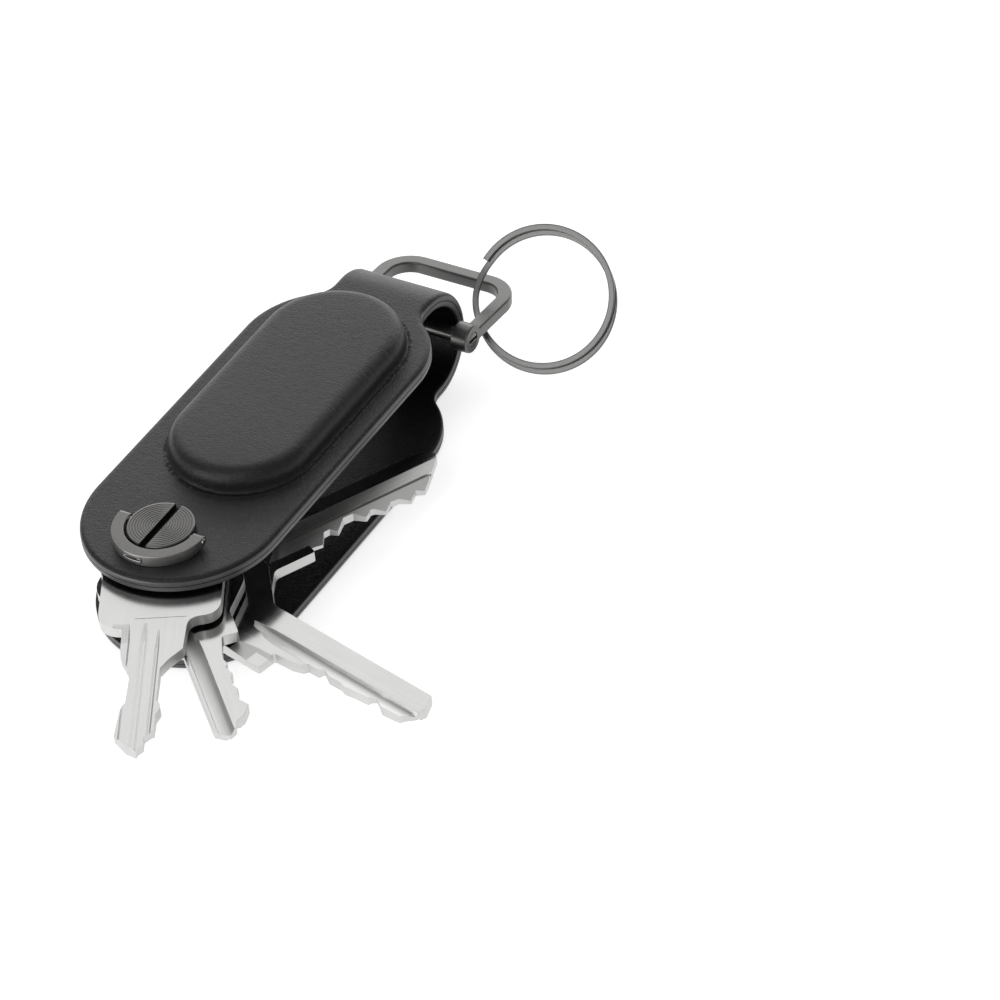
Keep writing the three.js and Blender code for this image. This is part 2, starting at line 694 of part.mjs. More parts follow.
piece('spring_washer', ring(boreRadius, WASHER_RADIUS, topFace, topFace + WASHER_THICKNESS), STEEL);
piece('clamp_screw', clampScrew(), GUNMETAL);
piece('bail_pin_right', bailPin(1), STEEL);
piece('bail_pin_left', bailPin(-1), STEEL);
piece('bail', bail(), GUNMETAL);

const dRingGroup = new THREE.Group();
dRingGroup.position.set(D_RING_SHIFT, pinAt, pinHeight);
dRingGroup.rotation.x = radians(D_RING_TILT);
organizer.add(dRingGroup);
piece('d_ring', dRing(), GUNMETAL, dRingGroup);
piece('loop_pin', loopPin(), STEEL, dRingGroup);

const splitRingMesh = piece('split_ring', splitRing(), GUNMETAL, dRingGroup);
const [ringX, ringY, ringZ] = RING_FROM_CORNER;
const cornerX = dRingHalf - D_RING_CORNER;
const cornerY = D_RING_LENGTH - D_RING_CORNER;
splitRingMesh.position.set(cornerX + ringX, cornerY + ringY, ringZ);
splitRingMesh.rotation.set(radians(90 - RING_LEAN), 0, radians(RING_HEADING), 'ZXY');

export default organizer;
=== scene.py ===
import math

import bpy
from mathutils import Matrix, Quaternion, Vector


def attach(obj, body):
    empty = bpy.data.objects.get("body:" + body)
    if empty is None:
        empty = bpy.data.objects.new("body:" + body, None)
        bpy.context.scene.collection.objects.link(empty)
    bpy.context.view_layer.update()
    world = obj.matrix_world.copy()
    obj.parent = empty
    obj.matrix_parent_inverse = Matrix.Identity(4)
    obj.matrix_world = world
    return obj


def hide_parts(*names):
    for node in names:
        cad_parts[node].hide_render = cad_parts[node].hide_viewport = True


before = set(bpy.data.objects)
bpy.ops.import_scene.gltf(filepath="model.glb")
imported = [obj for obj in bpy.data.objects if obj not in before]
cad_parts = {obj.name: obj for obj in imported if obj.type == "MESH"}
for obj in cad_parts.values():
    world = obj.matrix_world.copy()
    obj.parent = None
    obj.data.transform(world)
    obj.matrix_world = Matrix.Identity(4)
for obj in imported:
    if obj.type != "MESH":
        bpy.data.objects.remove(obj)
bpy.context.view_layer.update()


# Studio: a white floor, a broad softbox behind the left shoulder of the organizer, a lit backdrop low behind
# it, a faint lamp above and two fills in front. A long lens looks down on it from the front right.
bpy.ops.object.select_all(action="DESELECT")
bpy.ops.object.camera_add(location=(0.4327, -0.5325, 0.5894))
camera = bpy.context.object
camera_aim = Vector((0.03717, 0.05633, 0))
camera_roll = Quaternion((0, 0, 1), math.radians(-6.444))
camera.rotation_mode = "QUATERNION"
camera.rotation_quaternion = (camera_aim - camera.location).to_track_quat("-Z", "Y") @ camera_roll
camera.data.lens = 174.2
camera.data.sensor_width = 36
bpy.context.scene.camera = camera
bpy.context.scene.view_settings.view_transform = "Standard"

lamp_aim = Vector((0.02, 0.05, 0.01))


def softbox(name, place, width, height, power):
    """A rectangular lamp that faces the organizer."""
    bpy.ops.object.light_add(type="AREA", location=place)
    lamp = bpy.context.object
    lamp.name = name
    lamp.rotation_euler = (lamp_aim - lamp.location).to_track_quat("-Z", "Y").to_euler()
    lamp.data.shape = "RECTANGLE"
    lamp.data.size = width
    lamp.data.size_y = height
    lamp.data.energy = power


softbox("softbox_back_left", place=(-0.55, 0.95, 0.95), width=1.9, height=1.3, power=7.5)
softbox("backdrop", place=(-0.55, 1.7, 0.42), width=2.8, height=0.8, power=13.8)
softbox("softbox_top", place=(-0.2, 0.3, 1.4), width=1.0, height=0.8, power=0.3)
softbox("softbox_front", place=(0.02, -1.05, 1.0), width=0.8, height=0.6, power=3.4)
softbox("softbox_low", place=(-0.5, -1.2, 0.19), width=1.1, height=0.36, power=7.0)


class Wire:
    """One value in a material's node tree, so that shader maths reads as plain expressions."""

    def __init__(self, socket):
        self.socket = socket

    def node(self, kind, settings=None, output=0, **sockets):
        """One output of a new node. A socket goes by its name, or by i and its number."""
        tree = self.socket.id_data
        made = tree.nodes.new(kind)
        for key, value in (settings or {}).items():
            setattr(made, key, value)
        for key, value in sockets.items():
            place = made.inputs[int(key[1:]) if key[1:].isdigit() else key.replace("_", " ")]
            if isinstance(value, Wire):
                tree.links.new(value.socket, place)
            else:
                place.default_value = value
        return Wire(made.outputs[output])

    def maths(self, operation, a, b):
        return self.node("ShaderNodeMath", {"operation": operation}, i0=a, i1=b)

    def __add__(self, other):
        return self.maths("ADD", self, other)

    def __sub__(self, other):
        return self.maths("SUBTRACT", self, other)

    def __rsub__(self, other):
        return self.maths("SUBTRACT", other, self)

    def __mul__(self, other):
        return self.maths("MULTIPLY", self, other)

    __radd__ = __add__
    __rmul__ = __mul__

    def ramp(self, low, high):
        """0 below low, 1 above high, smooth between."""
        eased = {"interpolation_type": "SMOOTHSTEP"}
        return self.node("ShaderNodeMapRange", eased, Value=self, From_Min=low, From_Max=high)

    def mix(self, first, second):
        """The first colour where this value is 0, the second where it is 1."""
        colours = {"data_type": "RGBA"}
        return self.node("ShaderNodeMix", colours, output=2, i0=self, i6=(*first, 1), i7=(*second, 1))

    def noise(self, scale, detail=2.0, roughness=0.5):
        return self.node("ShaderNodeTexNoise", Vector=self, Scale=scale, Detail=detail, Roughness=roughness)

    def stretched(self, size, turn=0.0):
        """This vector turned about Z, then stretched by a size on each axis."""
        turned_first = {"vector_type": "TEXTURE"}
        parts = tuple(1 / s for s in size)
        return self.node("ShaderNodeMapping", turned_first, Vector=self, Rotation=(0, 0, -turn), Scale=parts)


def new_finish(name, **constants):
    """A material with its shader's constant sockets set. Returns it, its shader and its coordinates."""
    finish = bpy.data.materials.new(name)
    finish.use_nodes = True
    shader = finish.node_tree.nodes["Principled BSDF"]
    for key, value in constants.items():
        shader.inputs[key.replace("_", " ")].default_value = value
    coordinates = finish.node_tree.nodes.new("ShaderNodeTexCoord")
    return finish, shader, Wire(coordinates.outputs["Object"])


def connect(shader, **wires):
    """Links values to a shader's sockets by their names."""
    for key, wire in wires.items():
        shader.id_data.links.new(wire.socket, shader.inputs[key.replace("_", " ")])


floor_gap = 0.0002
floor_glow = 0.7
bpy.ops.mesh.primitive_plane_add(size=6, location=(0, 0, -floor_gap))
floor = bpy.context.object
floor.name = "floor"
floor_paint, floor_shader, floor_place = new_finish("floor_paint", Roughness=0.9)
connect(floor_shader, Base_Color=floor_place.noise(3.0).mix((0.8, 0.8, 0.8), (0.82, 0.82, 0.82)))
rays = floor_paint.node_tree.nodes.new("ShaderNodeLightPath").outputs
seen = Wire(rays["Is Camera Ray"]) + Wire(rays["Is Glossy Ray"]) + Wire(rays["Is Transmission Ray"])
seen = seen.node("ShaderNodeClamp", Value=seen)
glow = seen.node("ShaderNodeEmission", Color=(1, 1, 1, 1), Strength=seen * floor_glow)
surface = glow.node("ShaderNodeAddShader", i0=Wire(floor_shader.outputs[0]), i1=glow)
floor_output = floor_paint.node_tree.nodes["Material Output"]
floor_paint.node_tree.links.new(surface.socket, floor_output.inputs["Surface"])
floor.data.materials.append(floor_paint)

air_light = 0.27
world = bpy.data.worlds.new("studio_air")
world.use_nodes = True
bpy.context.scene.world = world
air = world.node_tree.nodes["Background"]
air.inputs["Color"].default_value = (1, 1, 1, 1)
rays = world.node_tree.nodes.new("ShaderNodeLightPath").outputs
air_strength = air_light + Wire(rays["Is Camera Ray"]) * (1 - air_light)
world.node_tree.links.new(air_strength.socket, air.inputs["Strength"])


# Strap: one length of dark grained leather, folded over the loop so that its ends are the upper and lower
# panels. The outer leather and its lining are glued back to back, and their cut edges are rounded and
# painted. The post goes through a hole in each panel.
strap_height = 0.0225
bend = 0.0796  # from the post to the centre of the loop's bend
bend_length = math.pi * strap_height / 2
bend_steps = 28
border = 0.0005  # narrow faces inside the rounded edges, which keep the panels flat
post_to_post = 2 * bend + bend_length  # along the strap laid out flat


def grain(place):
    """Height of fine pebbled leather: small cells with soft valleys, and creases that run across it."""
    edges = {"feature": "DISTANCE_TO_EDGE"}
    cells = place.node("ShaderNodeTexVoronoi", edges, Vector=place.stretched((0.8, 1, 1)), Scale=2300.0)
    fine = place.noise(4400.0, detail=3.0, roughness=0.6)
    creases = place.stretched((0.5, 1.0, 0.8)).noise(1400.0, detail=3.0, roughness=0.6)
    return cells.ramp(0.02, 0.28) * 0.6 + fine * 0.4 + creases.ramp(0.35, 0.65) * 0.4


def leather_finish(name, light, dark, gloss, moulding=None):
    """Grained leather. A moulding says what it adds to the grain, and what painted shade darkens its colour.
    """
    finish, shader, place = new_finish(name, Specular_IOR_Level=gloss)
    height = grain(place)
    patches = place.noise(160.0, detail=3.0, roughness=0.55)
    tone = patches * 0.55 + height * 0.4
    if moulding:
        # A moulding's second value is painted shade, which darkens the leather's colour where it falls.
        pressed, painted_shade = moulding(place)
        height = height + pressed
        tone = tone * painted_shade
    connect(
        shader,
        Base_Color=tone.mix(dark, light),
        Roughness=0.3 + patches * 0.1 + height * 0.05,
        Normal=height.node("ShaderNodeBump", Height=height, Strength=0.33, Distance=0.00015),
    )
    return finish


def edge_finish(name, colour, worn):
    """Edge paint: smooth and faintly uneven, with a satin gloss."""
    finish, shader, place = new_finish(name, Specular_IOR_Level=0.6)
    waves = place.noise(500.0)
    connect(
        shader,
        Base_Color=waves.mix(colour, worn),
        Roughness=0.3 + place.noise(240.0) * 0.16,
        Normal=waves.node("ShaderNodeBump", Height=waves, Strength=0.2, Distance=0.0001),
    )
    return finish


charcoal = (0.024, 0.024, 0.0246)
charcoal_valley = (0.008, 0.008, 0.0083)
charcoal_gloss = 0.33
charcoal_leather = leather_finish("charcoal_leather", charcoal, charcoal_valley, charcoal_gloss)
lining_leather = leather_finish("lining_leather", (0.005, 0.005, 0.0052), (0.002, 0.002, 0.0021), 0.15)
edge_paint = edge_finish("edge_paint", (0.06, 0.06, 0.0605), (0.09, 0.09, 0.09))


def arc(centre, radii, start, end, steps):
    """Points of an arc, from one angle in degrees to another."""
    angles = [math.radians(start + (end - start) * i / steps) for i in range(steps + 1)]
    return [(centre[0] + radii[0] * math.cos(a), centre[1] + radii[1] * math.sin(a)) for a in angles]


def panel_side(setback, fuller, neck):
    """The right-hand edge of one panel, from the tip of its nose to the neck's half width."""
    half_width = 0.019 + fuller
    nose_length = 0.0198 + fuller
    post_to_sides = 0.0076 + setback
    shoulder_radius = 0.017 + fuller
    shoulder_x = half_width - shoulder_radius
    shoulder_y = 0.060
    fillet_radius = 0.005
    across = neck + fillet_radius - shoulder_x
    along = math.sqrt((shoulder_radius + fillet_radius) ** 2 - across**2)
    turn = math.degrees(math.atan2(along, across))
    fillet_centre = (shoulder_x + across, shoulder_y + along)
    nose = arc((0, post_to_sides), (half_width, nose_length), -90, 0, 32)
    side = [(half_width, 0.025), (half_width, 0.042)]
    shoulder = arc((shoulder_x, shoulder_y), (shoulder_radius, shoulder_radius), 0, turn, 14)
    fillet = arc(fillet_centre, (fillet_radius, fillet_radius), turn - 180, -180, 10)
    return nose + side + shoulder + fillet[1:] + [(neck, bend)]


def outline_face(name, points, height):
    """A flat face on the given outline, from a circle whose corners are moved there."""
    bpy.ops.object.select_all(action="DESELECT")
    bpy.ops.mesh.primitive_circle_add(vertices=len(points), fill_type="NGON")
    piece = bpy.context.object
    piece.name = piece.data.name = name
    for vertex, (x, y) in zip(piece.data.vertices, points):
        vertex.co = (x, y, height)
    return piece


def pick(piece, kind, wanted):
    """Selects, in edit mode, the edges or faces for which wanted() is true."""
    bpy.ops.object.mode_set(mode="EDIT")
    bpy.ops.mesh.select_mode(type=kind)
    bpy.ops.mesh.select_all(action="DESELECT")
    bpy.ops.object.mode_set(mode="OBJECT")
    corners = piece.data.vertices
    if kind == "EDGE":
        for edge in piece.data.edges:
            edge.select = wanted(*(corners[i].co for i in edge.vertices))
    if kind == "FACE":
        for face in piece.data.polygons:
            face.select = wanted(face)
    bpy.ops.object.mode_set(mode="EDIT")


def lift(distance):
    """Extrudes what is selected straight up."""
    bpy.ops.mesh.extrude_region_move(TRANSFORM_OT_translate={"value": (0, 0, distance)})


def near(value, target):
    """Whether a value is the target, but for rounding."""
    return abs(value - target) < 1e-6


def fold(flat):
    """Takes a point of the strap laid out flat to its place in the folded strap."""
    depth = -flat.z
    if flat.y < bend:
        return Vector((flat.x, flat.y, strap_height - depth))
    if flat.y > bend + bend_length:
        return Vector((flat.x, post_to_post - flat.y, depth))
    turn = (flat.y - bend) / bend_length * math.pi
    radius = strap_height / 2 - depth
    return Vector((flat.x, bend + radius * math.sin(turn), strap_height / 2 + radius * math.cos(turn)))


def choose(piece):
    """Makes a piece the only one selected, and the active one."""
    bpy.ops.object.select_all(action="DESELECT")
    piece.select_set(True)
    bpy.context.view_layer.objects.active = piece


def cut_away(piece, cutter, operation="DIFFERENCE"):
    """Takes a cutter's shape out of a piece, or with UNION adds it, and removes the cutter."""
    cut = piece.modifiers.new("cut", "BOOLEAN")
    cut.object = cutter
    cut.operation = operation
    cut.solver = "EXACT"
    bpy.context.view_layer.objects.active = piece
    bpy.ops.object.modifier_apply(modifier="cut")
    bpy.data.objects.remove(cutter)


def smooth(piece, angle):
    """Shades a piece smooth, apart from corners sharper than an angle in degrees."""
    choose(piece)
    bpy.ops.object.shade_smooth_by_angle(angle=math.radians(angle))


def post_hole(radius, low, high):
    """A round cutter on the post's axis, from low to high."""
    bpy.ops.object.select_all(action="DESELECT")
    middle = (0, 0, (low + high) / 2)
    bpy.ops.mesh.primitive_cylinder_add(vertices=64, radius=radius, depth=high - low, location=middle)
    return bpy.context.object


def strap_layer(name, outside, inside, outside_round, inside_round, face_finish):
    """One layer of the folded strap, between two depths below the strap's outside face."""
    upper = panel_side(setback=0, fuller=0.0004, neck=0.0103)
    lower = panel_side(setback=0.0014, fuller=0.0009, neck=0.0112)
    right = upper + [(x, post_to_post - y) for x, y in reversed(lower)]
    left = [(-x, y) for x, y in right[-2:0:-1]]
    piece = outline_face(name, right + left, -inside)
    bpy.ops.object.mode_set(mode="EDIT")
    bpy.ops.mesh.select_all(action="SELECT")
    lift(inside - outside)
    for depth, rounding in ((outside, outside_round), (inside, inside_round)):
        pick(piece, "EDGE", lambda a, b: near(a.z, -depth) and near(b.z, -depth))
        bpy.ops.mesh.bevel(offset=rounding, segments=6, affect="EDGES")
    pick(piece, "FACE", lambda face: abs(face.normal.z) > 0.999)
    bpy.ops.mesh.inset(thickness=border, use_individual=True)
    for i in range(bend_steps + 1):
        bpy.ops.mesh.select_all(action="SELECT")
        bpy.ops.mesh.bisect(plane_co=(0, bend + bend_length * i / bend_steps, 0), plane_no=(0, 1, 0))
    bpy.ops.object.mode_set(mode="OBJECT")
    piece.data.materials.append(face_finish)
    piece.data.materials.append(edge_paint)
    for face in piece.data.polygons:
        face.material_index = 1 if abs(face.normal.z) < 0.6 else 0
    for vertex in piece.data.vertices:
        vertex.co = fold(vertex.co)
    cut_away(piece, post_hole(radius=0.00265, low=-0.001, high=0.024))
    return piece


strap = strap_layer(
    "strap_outer_leather",
    outside=0,
    inside=0.0015,
    outside_round=0.0011,
    inside_round=0.00012,
    face_finish=charcoal_leather,
)
cut_away(strap, post_hole(radius=0.00615, low=-0.001, high=0.001))
lining = strap_layer(
    "strap_lining",
    outside=0.00155,
    inside=0.0028,
    outside_round=0.00012,
    inside_round=0.0005,
    face_finish=lining_leather,
)
for piece, node, slot in ((strap, "leather_outer", "leather"), (lining, "leather_lining", "lining")):
    smooth(piece, 40)
    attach(piece, "strap")
    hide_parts(node)


# Pod: the outer leather of the upper panel, pressed wet over a firm former. Its foot has a tight crease with
# fine wrinkles across it, its shoulder is full and round, and its top is almost flat.
post_to_pod = 0.0144
pod_length = 0.060
pod_radius = 0.0144
pod_near = post_to_pod + pod_radius  # centres of the round ends, from the post
pod_far = post_to_pod + pod_length - pod_radius
pod_shift = (0.00025, -0.0003, 0)  # the pressing sits a little off the strap's middle

# The profile runs from the foot to the crown, as distances in from the pod's edge and up from the panel.
foot = [
    (-0.0013, -0.00003), (-0.001, 0.00005), (-0.00075, 0.0001), (-0.00052, 0.00004), (-0.00042, 0.00001),
    (-0.00028, 0.0001), (-0.00012, 0.0003), (0.00002, 0.0006), (0.00008, 0.001),
]
wall_inset = 0.0001
wall_height = 0.0013
shoulder_width = 0.0032
shoulder_height = 0.00334
shoulder_turn = 88.8  # degrees
shoulder_steps = 12
fullness = 0.86
turns = [math.radians(shoulder_turn * i / shoulder_steps) for i in range(shoulder_steps + 1)]
shoulder = [
    (
        wall_inset + shoulder_width * (1 - math.cos(turn) ** fullness),
        wall_height + shoulder_height * math.sin(turn) ** fullness,
    )
    for turn in turns
]
crown = [(0.0044, 0.00468), (0.0066, 0.00473), (0.009, 0.00477), (0.0115, 0.0048), (0.0134, 0.00481)]
profile = foot + shoulder + crown

skirt = pod_radius - profile[0][0]
straight = pod_far - pod_near
side_steps = 16
sides = [pod_near + straight * i / side_steps for i in range(1, side_steps)]
pod_outline = (
    arc((0, pod_far), (skirt, skirt), 0, 180, 56)
    + [(-skirt, y) for y in reversed(sides)]
    + arc((0, pod_near), (skirt, skirt), 180, 360, 56)
    + [(skirt, y) for y in sides]
)
pod = outline_face("pod_skin", pod_outline, strap_height + profile[0][1])
bpy.ops.object.mode_set(mode="EDIT")
bpy.ops.mesh.select_mode(type="FACE")
bpy.ops.mesh.select_all(action="SELECT")
for (inset, height), (next_inset, next_height) in zip(profile, profile[1:]):
    bpy.ops.mesh.inset(thickness=next_inset - inset, depth=next_height - height)
bpy.ops.object.mode_set(mode="OBJECT")
smooth(pod, 180)

# Each point of the pod keeps its place round the rim, wound on a circle so that it closes, and its distance
# in from the foot, both in millimetres. The puckers and the crease follow these.
skin = pod.data.attributes.new("skin", "FLOAT_VECTOR", "POINT")
rim = 2 * math.pi * pod_radius + 2 * straight
rim_radius = rim / math.tau
for vertex, value in zip(pod.data.vertices, skin.data):
    x, y = vertex.co.x, vertex.co.y
    spine = min(max(y, pod_near), pod_far)
    way = math.atan2(y - spine, x)
    if y > pod_far:
        along = pod_radius * way
    elif y < pod_near:
        along = math.pi * pod_radius + straight + pod_radius * (way + math.pi)
    else:
        along = math.pi * pod_radius + pod_far - y if x < 0 else rim - (pod_far - y)
    turn = along / rim_radius
    inset = pod_radius - math.hypot(x, y - spine)
    value.vector = 1000 * Vector((rim_radius * math.cos(turn), rim_radius * math.sin(turn), inset))
pod.data.transform(Matrix.Translation(pod_shift))


def pod_moulding(place):
    """Puckers that run up from the foot, and a crinkled crease around it, darkened with painted shade."""
    across = place.node("ShaderNodeAttribute", {"attribute_name": "skin"}, output=1)
    inset = across.node("ShaderNodeSeparateXYZ", output=2, Vector=across)
    puckers = across.stretched((1, 1, 0.3)).noise(1.1, detail=3.0, roughness=0.6).ramp(0.35, 0.7)
    crinkle = across.stretched((1, 1, 0.7)).noise(1.3, detail=3.0, roughness=0.65).ramp(0.42, 0.58)
    near_foot = (1 - inset.ramp(0.2, 2.6)) * inset.ramp(-0.5, 0.1)
    lip = (1 - inset.ramp(-0.5, -0.15)) * inset.ramp(-1.3, -0.9)
    valley = (1 - inset.ramp(-0.4, -0.1)) * inset.ramp(-0.75, -0.5)
    # The second value is painted shade: it darkens the colour in the crease's valley and in the crinkles of
    # its lip.
    return puckers * near_foot * 0.7 + crinkle * lip * 6.0, (1 - valley) * (1 - lip * crinkle * 0.8)


pod_leather = leather_finish("pod_leather", charcoal, charcoal_valley, charcoal_gloss, pod_moulding)
pod.data.materials.append(pod_leather)
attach(pod, "strap")


# Clamp screw: turned from steel bar and plated gunmetal. Its head has close concentric rings and a coin slot,
# and its threaded shank screws down into the post.
head_base = 0.02292
head_top = 0.02492
head_radius = 0.0064
rim_steps = ((0.0001, 0.00014), (0.00012, 0.00006))  # each in and up
rim_height = 0.0002
groove_count = 11
groove_steps = ((0.00027, 0), (0.00007, -0.00011), (0.0001, 0), (0.00007, 0.00011))
slot_width = 0.0015
slot_depth = 0.0011
slot_length = 0.014
shank_length = 0.006
shank_radius = 0.0011
ridge_count = 7
ridge_steps = ((0.00155, 0.0003), (0.00155, 0.0001), (0.00122, 0.0003), (0.00122, 0.0001))  # radius and rise


def metal_finish(name, colour, worn, roughness, streaks, turn=0.0, bump=0.12):
    """Brushed metal, a little brighter where it is worn. Its streaks are long where their size is small."""
    finish, shader, place = new_finish(name, Metallic=1.0)
    brushed = place.stretched(streaks, turn).noise(1600.0, detail=3.0, roughness=0.6)
    clouds = place.noise(140.0)
    connect(
        shader,
        Base_Color=(brushed * 0.65 + clouds * 0.35).mix(colour, worn),
        Roughness=roughness + brushed * 0.12 + clouds * 0.06,
        Normal=brushed.node("ShaderNodeBump", Height=brushed, Strength=bump, Distance=0.00005),
    )
    return finish


even = (1, 1, 1)
turned_gunmetal = metal_finish("turned_gunmetal", (0.12, 0.118, 0.114), (0.18, 0.178, 0.173), 0.24, even)
# The coin slot's near-black colour is painted shade in the recess, not a finish of its own.
slot_painted_shade = metal_finish("slot_painted_shade", (0.008, 0.008, 0.008), (0.02, 0.02, 0.02), 0.5, even)


def block(size, place):
    """A rectangular cutter."""
    bpy.ops.object.select_all(action="DESELECT")
    bpy.ops.mesh.primitive_cube_add(size=1, scale=size, location=place)
    return bpy.context.object


circle = arc((0, 0), (head_radius, head_radius), 0, 360, 96)[:-1]
screw = outline_face("clamp_screw_head", circle, head_base)
bpy.ops.object.mode_set(mode="EDIT")
bpy.ops.mesh.select_mode(type="FACE")
bpy.ops.mesh.select_all(action="SELECT")
lift(head_top - head_base - rim_height)
for thickness, depth in rim_steps:
    bpy.ops.mesh.inset(thickness=thickness, depth=depth)
for groove in range(groove_count):
    for thickness, depth in groove_steps:
        bpy.ops.mesh.inset(thickness=thickness, depth=depth)
bpy.ops.mesh.inset(thickness=0.0004, depth=0)
bpy.ops.object.mode_set(mode="OBJECT")
cut_away(screw, block((slot_width, slot_length, 2 * slot_depth), (0, 0, head_top)))
smooth(screw, 30)
screw.data.materials.append(turned_gunmetal)
screw.data.materials.append(slot_painted_shade)
# Faces inside the slot take the painted shade.
for face in screw.data.polygons:
    in_slot = abs(face.center.x) < slot_width / 2 + 0.00001 and face.center.z < head_top - rim_height
    face.material_index = 1 if in_slot else 0

shank_end = arc((0, 0), (shank_radius, shank_radius), 0, 360, 32)[:-1]
thread = outline_face("thread", shank_end, head_base - shank_length)
bpy.ops.object.mode_set(mode="EDIT")
bpy.ops.mesh.select_all(action="SELECT")
lift(0.0004)
for ridge in range(ridge_count):
    for radius, rise in ridge_steps:
        lift(rise)
        bpy.ops.object.mode_set(mode="OBJECT")
        for vertex in thread.data.vertices:
            if vertex.select:
                vertex.co.xy = vertex.co.xy.normalized() * radius
        bpy.ops.object.mode_set(mode="EDIT")
bpy.ops.object.mode_set(mode="OBJECT")
smooth(thread, 30)
thread.data.materials.append(turned_gunmetal)
for piece in (screw, thread):
    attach(piece, "clamp_screw")
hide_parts("clamp_screw")


# Bail: a half ring of steel, plated like the screw, that folds flat round its head and turns it by hand. Two
# slotted pins in the head hold its rounded ends, and a slit in its front wall takes a fingernail.
bail_axis = head_base + 0.001
bail_half = 0.00098  # half its height, and how far its ends reach past the pins
bail_inner = 0.0069
bail_outer = 0.0092
bail_corner = 0.00026
end_round = 0.00093
drop = 0.0004  # the front wall is this much deeper than the ends
drop_start = 0.0012
drop_run = 0.002
slit_size = (0.001, 0.0042, 0.00042)
slit_heading = math.radians(266)
slit_height = bail_axis - 0.00022
pin_radius = 0.00055
pin_length = 0.004
pin_middle = 0.00738
pin_tip = pin_middle + pin_length / 2
pin_round = 0.00012
pin_slot_size = (0.0006, 0.0002, 0.002)
pin_slot_middle = 0.0093


def keep_flats(piece, angle):
    """Shades a metal piece smooth over its rounded corners, with its flat faces flat."""
    smooth(piece, angle)
    piece.modifiers.new("flats", "WEIGHTED_NORMAL").keep_sharp = True
    bpy.ops.object.modifier_apply(modifier="flats")


def soften(piece, width, angle):
    """Rounds the sharp corners of a metal piece."""
    choose(piece)
    corners = piece.modifiers.new("corners", "BEVEL")
    corners.width = width
    corners.segments = 3
    corners.limit_method = "ANGLE"
    corners.angle_limit = math.radians(angle)
    bpy.ops.object.modifier_apply(modifier="corners")
    keep_flats(piece, angle)


bpy.ops.object.select_all(action="DESELECT")
bpy.ops.mesh.primitive_plane_add(size=1)
bail = bpy.context.object
bail.name = bail.data.name = "bail_ring"
section = [(x, z) for z in (-bail_half, bail_half) for x in (bail_inner, bail_outer)]
for vertex, (x, z) in zip(bail.data.vertices, section):
    vertex.co = (x, 0, bail_axis + z)
bpy.ops.object.mode_set(mode="EDIT")
bpy.ops.mesh.select_all(action="SELECT")
bpy.ops.mesh.spin(steps=56, angle=math.pi, center=(0, 0, 0), axis=(0, 0, 1))
bpy.ops.mesh.select_all(action="SELECT")
bpy.ops.mesh.remove_doubles(threshold=1e-6)
bpy.ops.mesh.normals_make_consistent(inside=False)
pick(bail, "FACE", lambda face: near(face.center.y, 0))
bpy.ops.mesh.extrude_region_move(TRANSFORM_OT_translate={"value": (0, bail_half, 0)})
pick(bail, "EDGE", lambda a, b: near(a.y, bail_half) and near(b.y, bail_half) and near(a.z, b.z))
bpy.ops.mesh.bevel(offset=end_round, segments=6, affect="EDGES")
bpy.ops.mesh.select_all(action="SELECT")
bpy.ops.mesh.normals_make_consistent(inside=False)
bpy.ops.object.mode_set(mode="OBJECT")
slit_place = (bail_outer * math.cos(slit_heading), bail_outer * math.sin(slit_heading), slit_height)
slit = block(slit_size, slit_place)
slit.rotation_euler.z = slit_heading
cut_away(bail, slit)
underside = bail_axis - 0.0009
for vertex in bail.data.vertices:
    if vertex.co.z < underside:
        vertex.co.z -= drop * min(max((-vertex.co.y - drop_start) / drop_run, 0), 1)
soften(bail, bail_corner, 35)
# The side walls take a far lighter colour than the top, though both are the same plated steel: painted light.
bail_side_painted_light = metal_finish("bail_side_painted_light", (0.34, 0.336, 0.329), (0.465, 0.461, 0.454), 0.32, (1, 1, 0.1))
bail.data.materials.append(turned_gunmetal)
bail.data.materials.append(bail_side_painted_light)
for face in bail.data.polygons:
    face.material_index = 0 if abs(face.normal.z) > 0.9 else 1
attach(bail, "bail")
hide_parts("bail")


def crosswise_rod(vertices, radius, length, middle):
    """A rod along X."""
    bpy.ops.object.select_all(action="DESELECT")
    bpy.ops.mesh.primitive_cylinder_add(
        vertices=vertices, radius=radius, depth=length, location=middle, rotation=(0, math.pi / 2, 0)
    )
    bpy.ops.object.transform_apply(location=True, rotation=True, scale=True)
    return bpy.context.object


bright_steel = metal_finish("bright_steel", (0.6, 0.6, 0.59), (0.75, 0.75, 0.74), 0.12, even)
for side, node in ((1, "bail_pin_right"), (-1, "bail_pin_left")):
    pin = crosswise_rod(32, pin_radius, pin_length, (side * pin_middle, 0, bail_axis))
    pin.name = pin.data.name = node + "_slotted"
    pick(pin, "EDGE", lambda a, b: near(abs(a.x), pin_tip) and near(abs(b.x), pin_tip))
    bpy.ops.mesh.bevel(offset=pin_round, segments=3, affect="EDGES")
    bpy.ops.object.mode_set(mode="OBJECT")
    cut_away(pin, block(pin_slot_size, (side * pin_slot_middle, 0, bail_axis)))
    smooth(pin, 30)
    pin.data.materials.append(bright_steel)
    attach(pin, "clamp_screw")
    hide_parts(node)


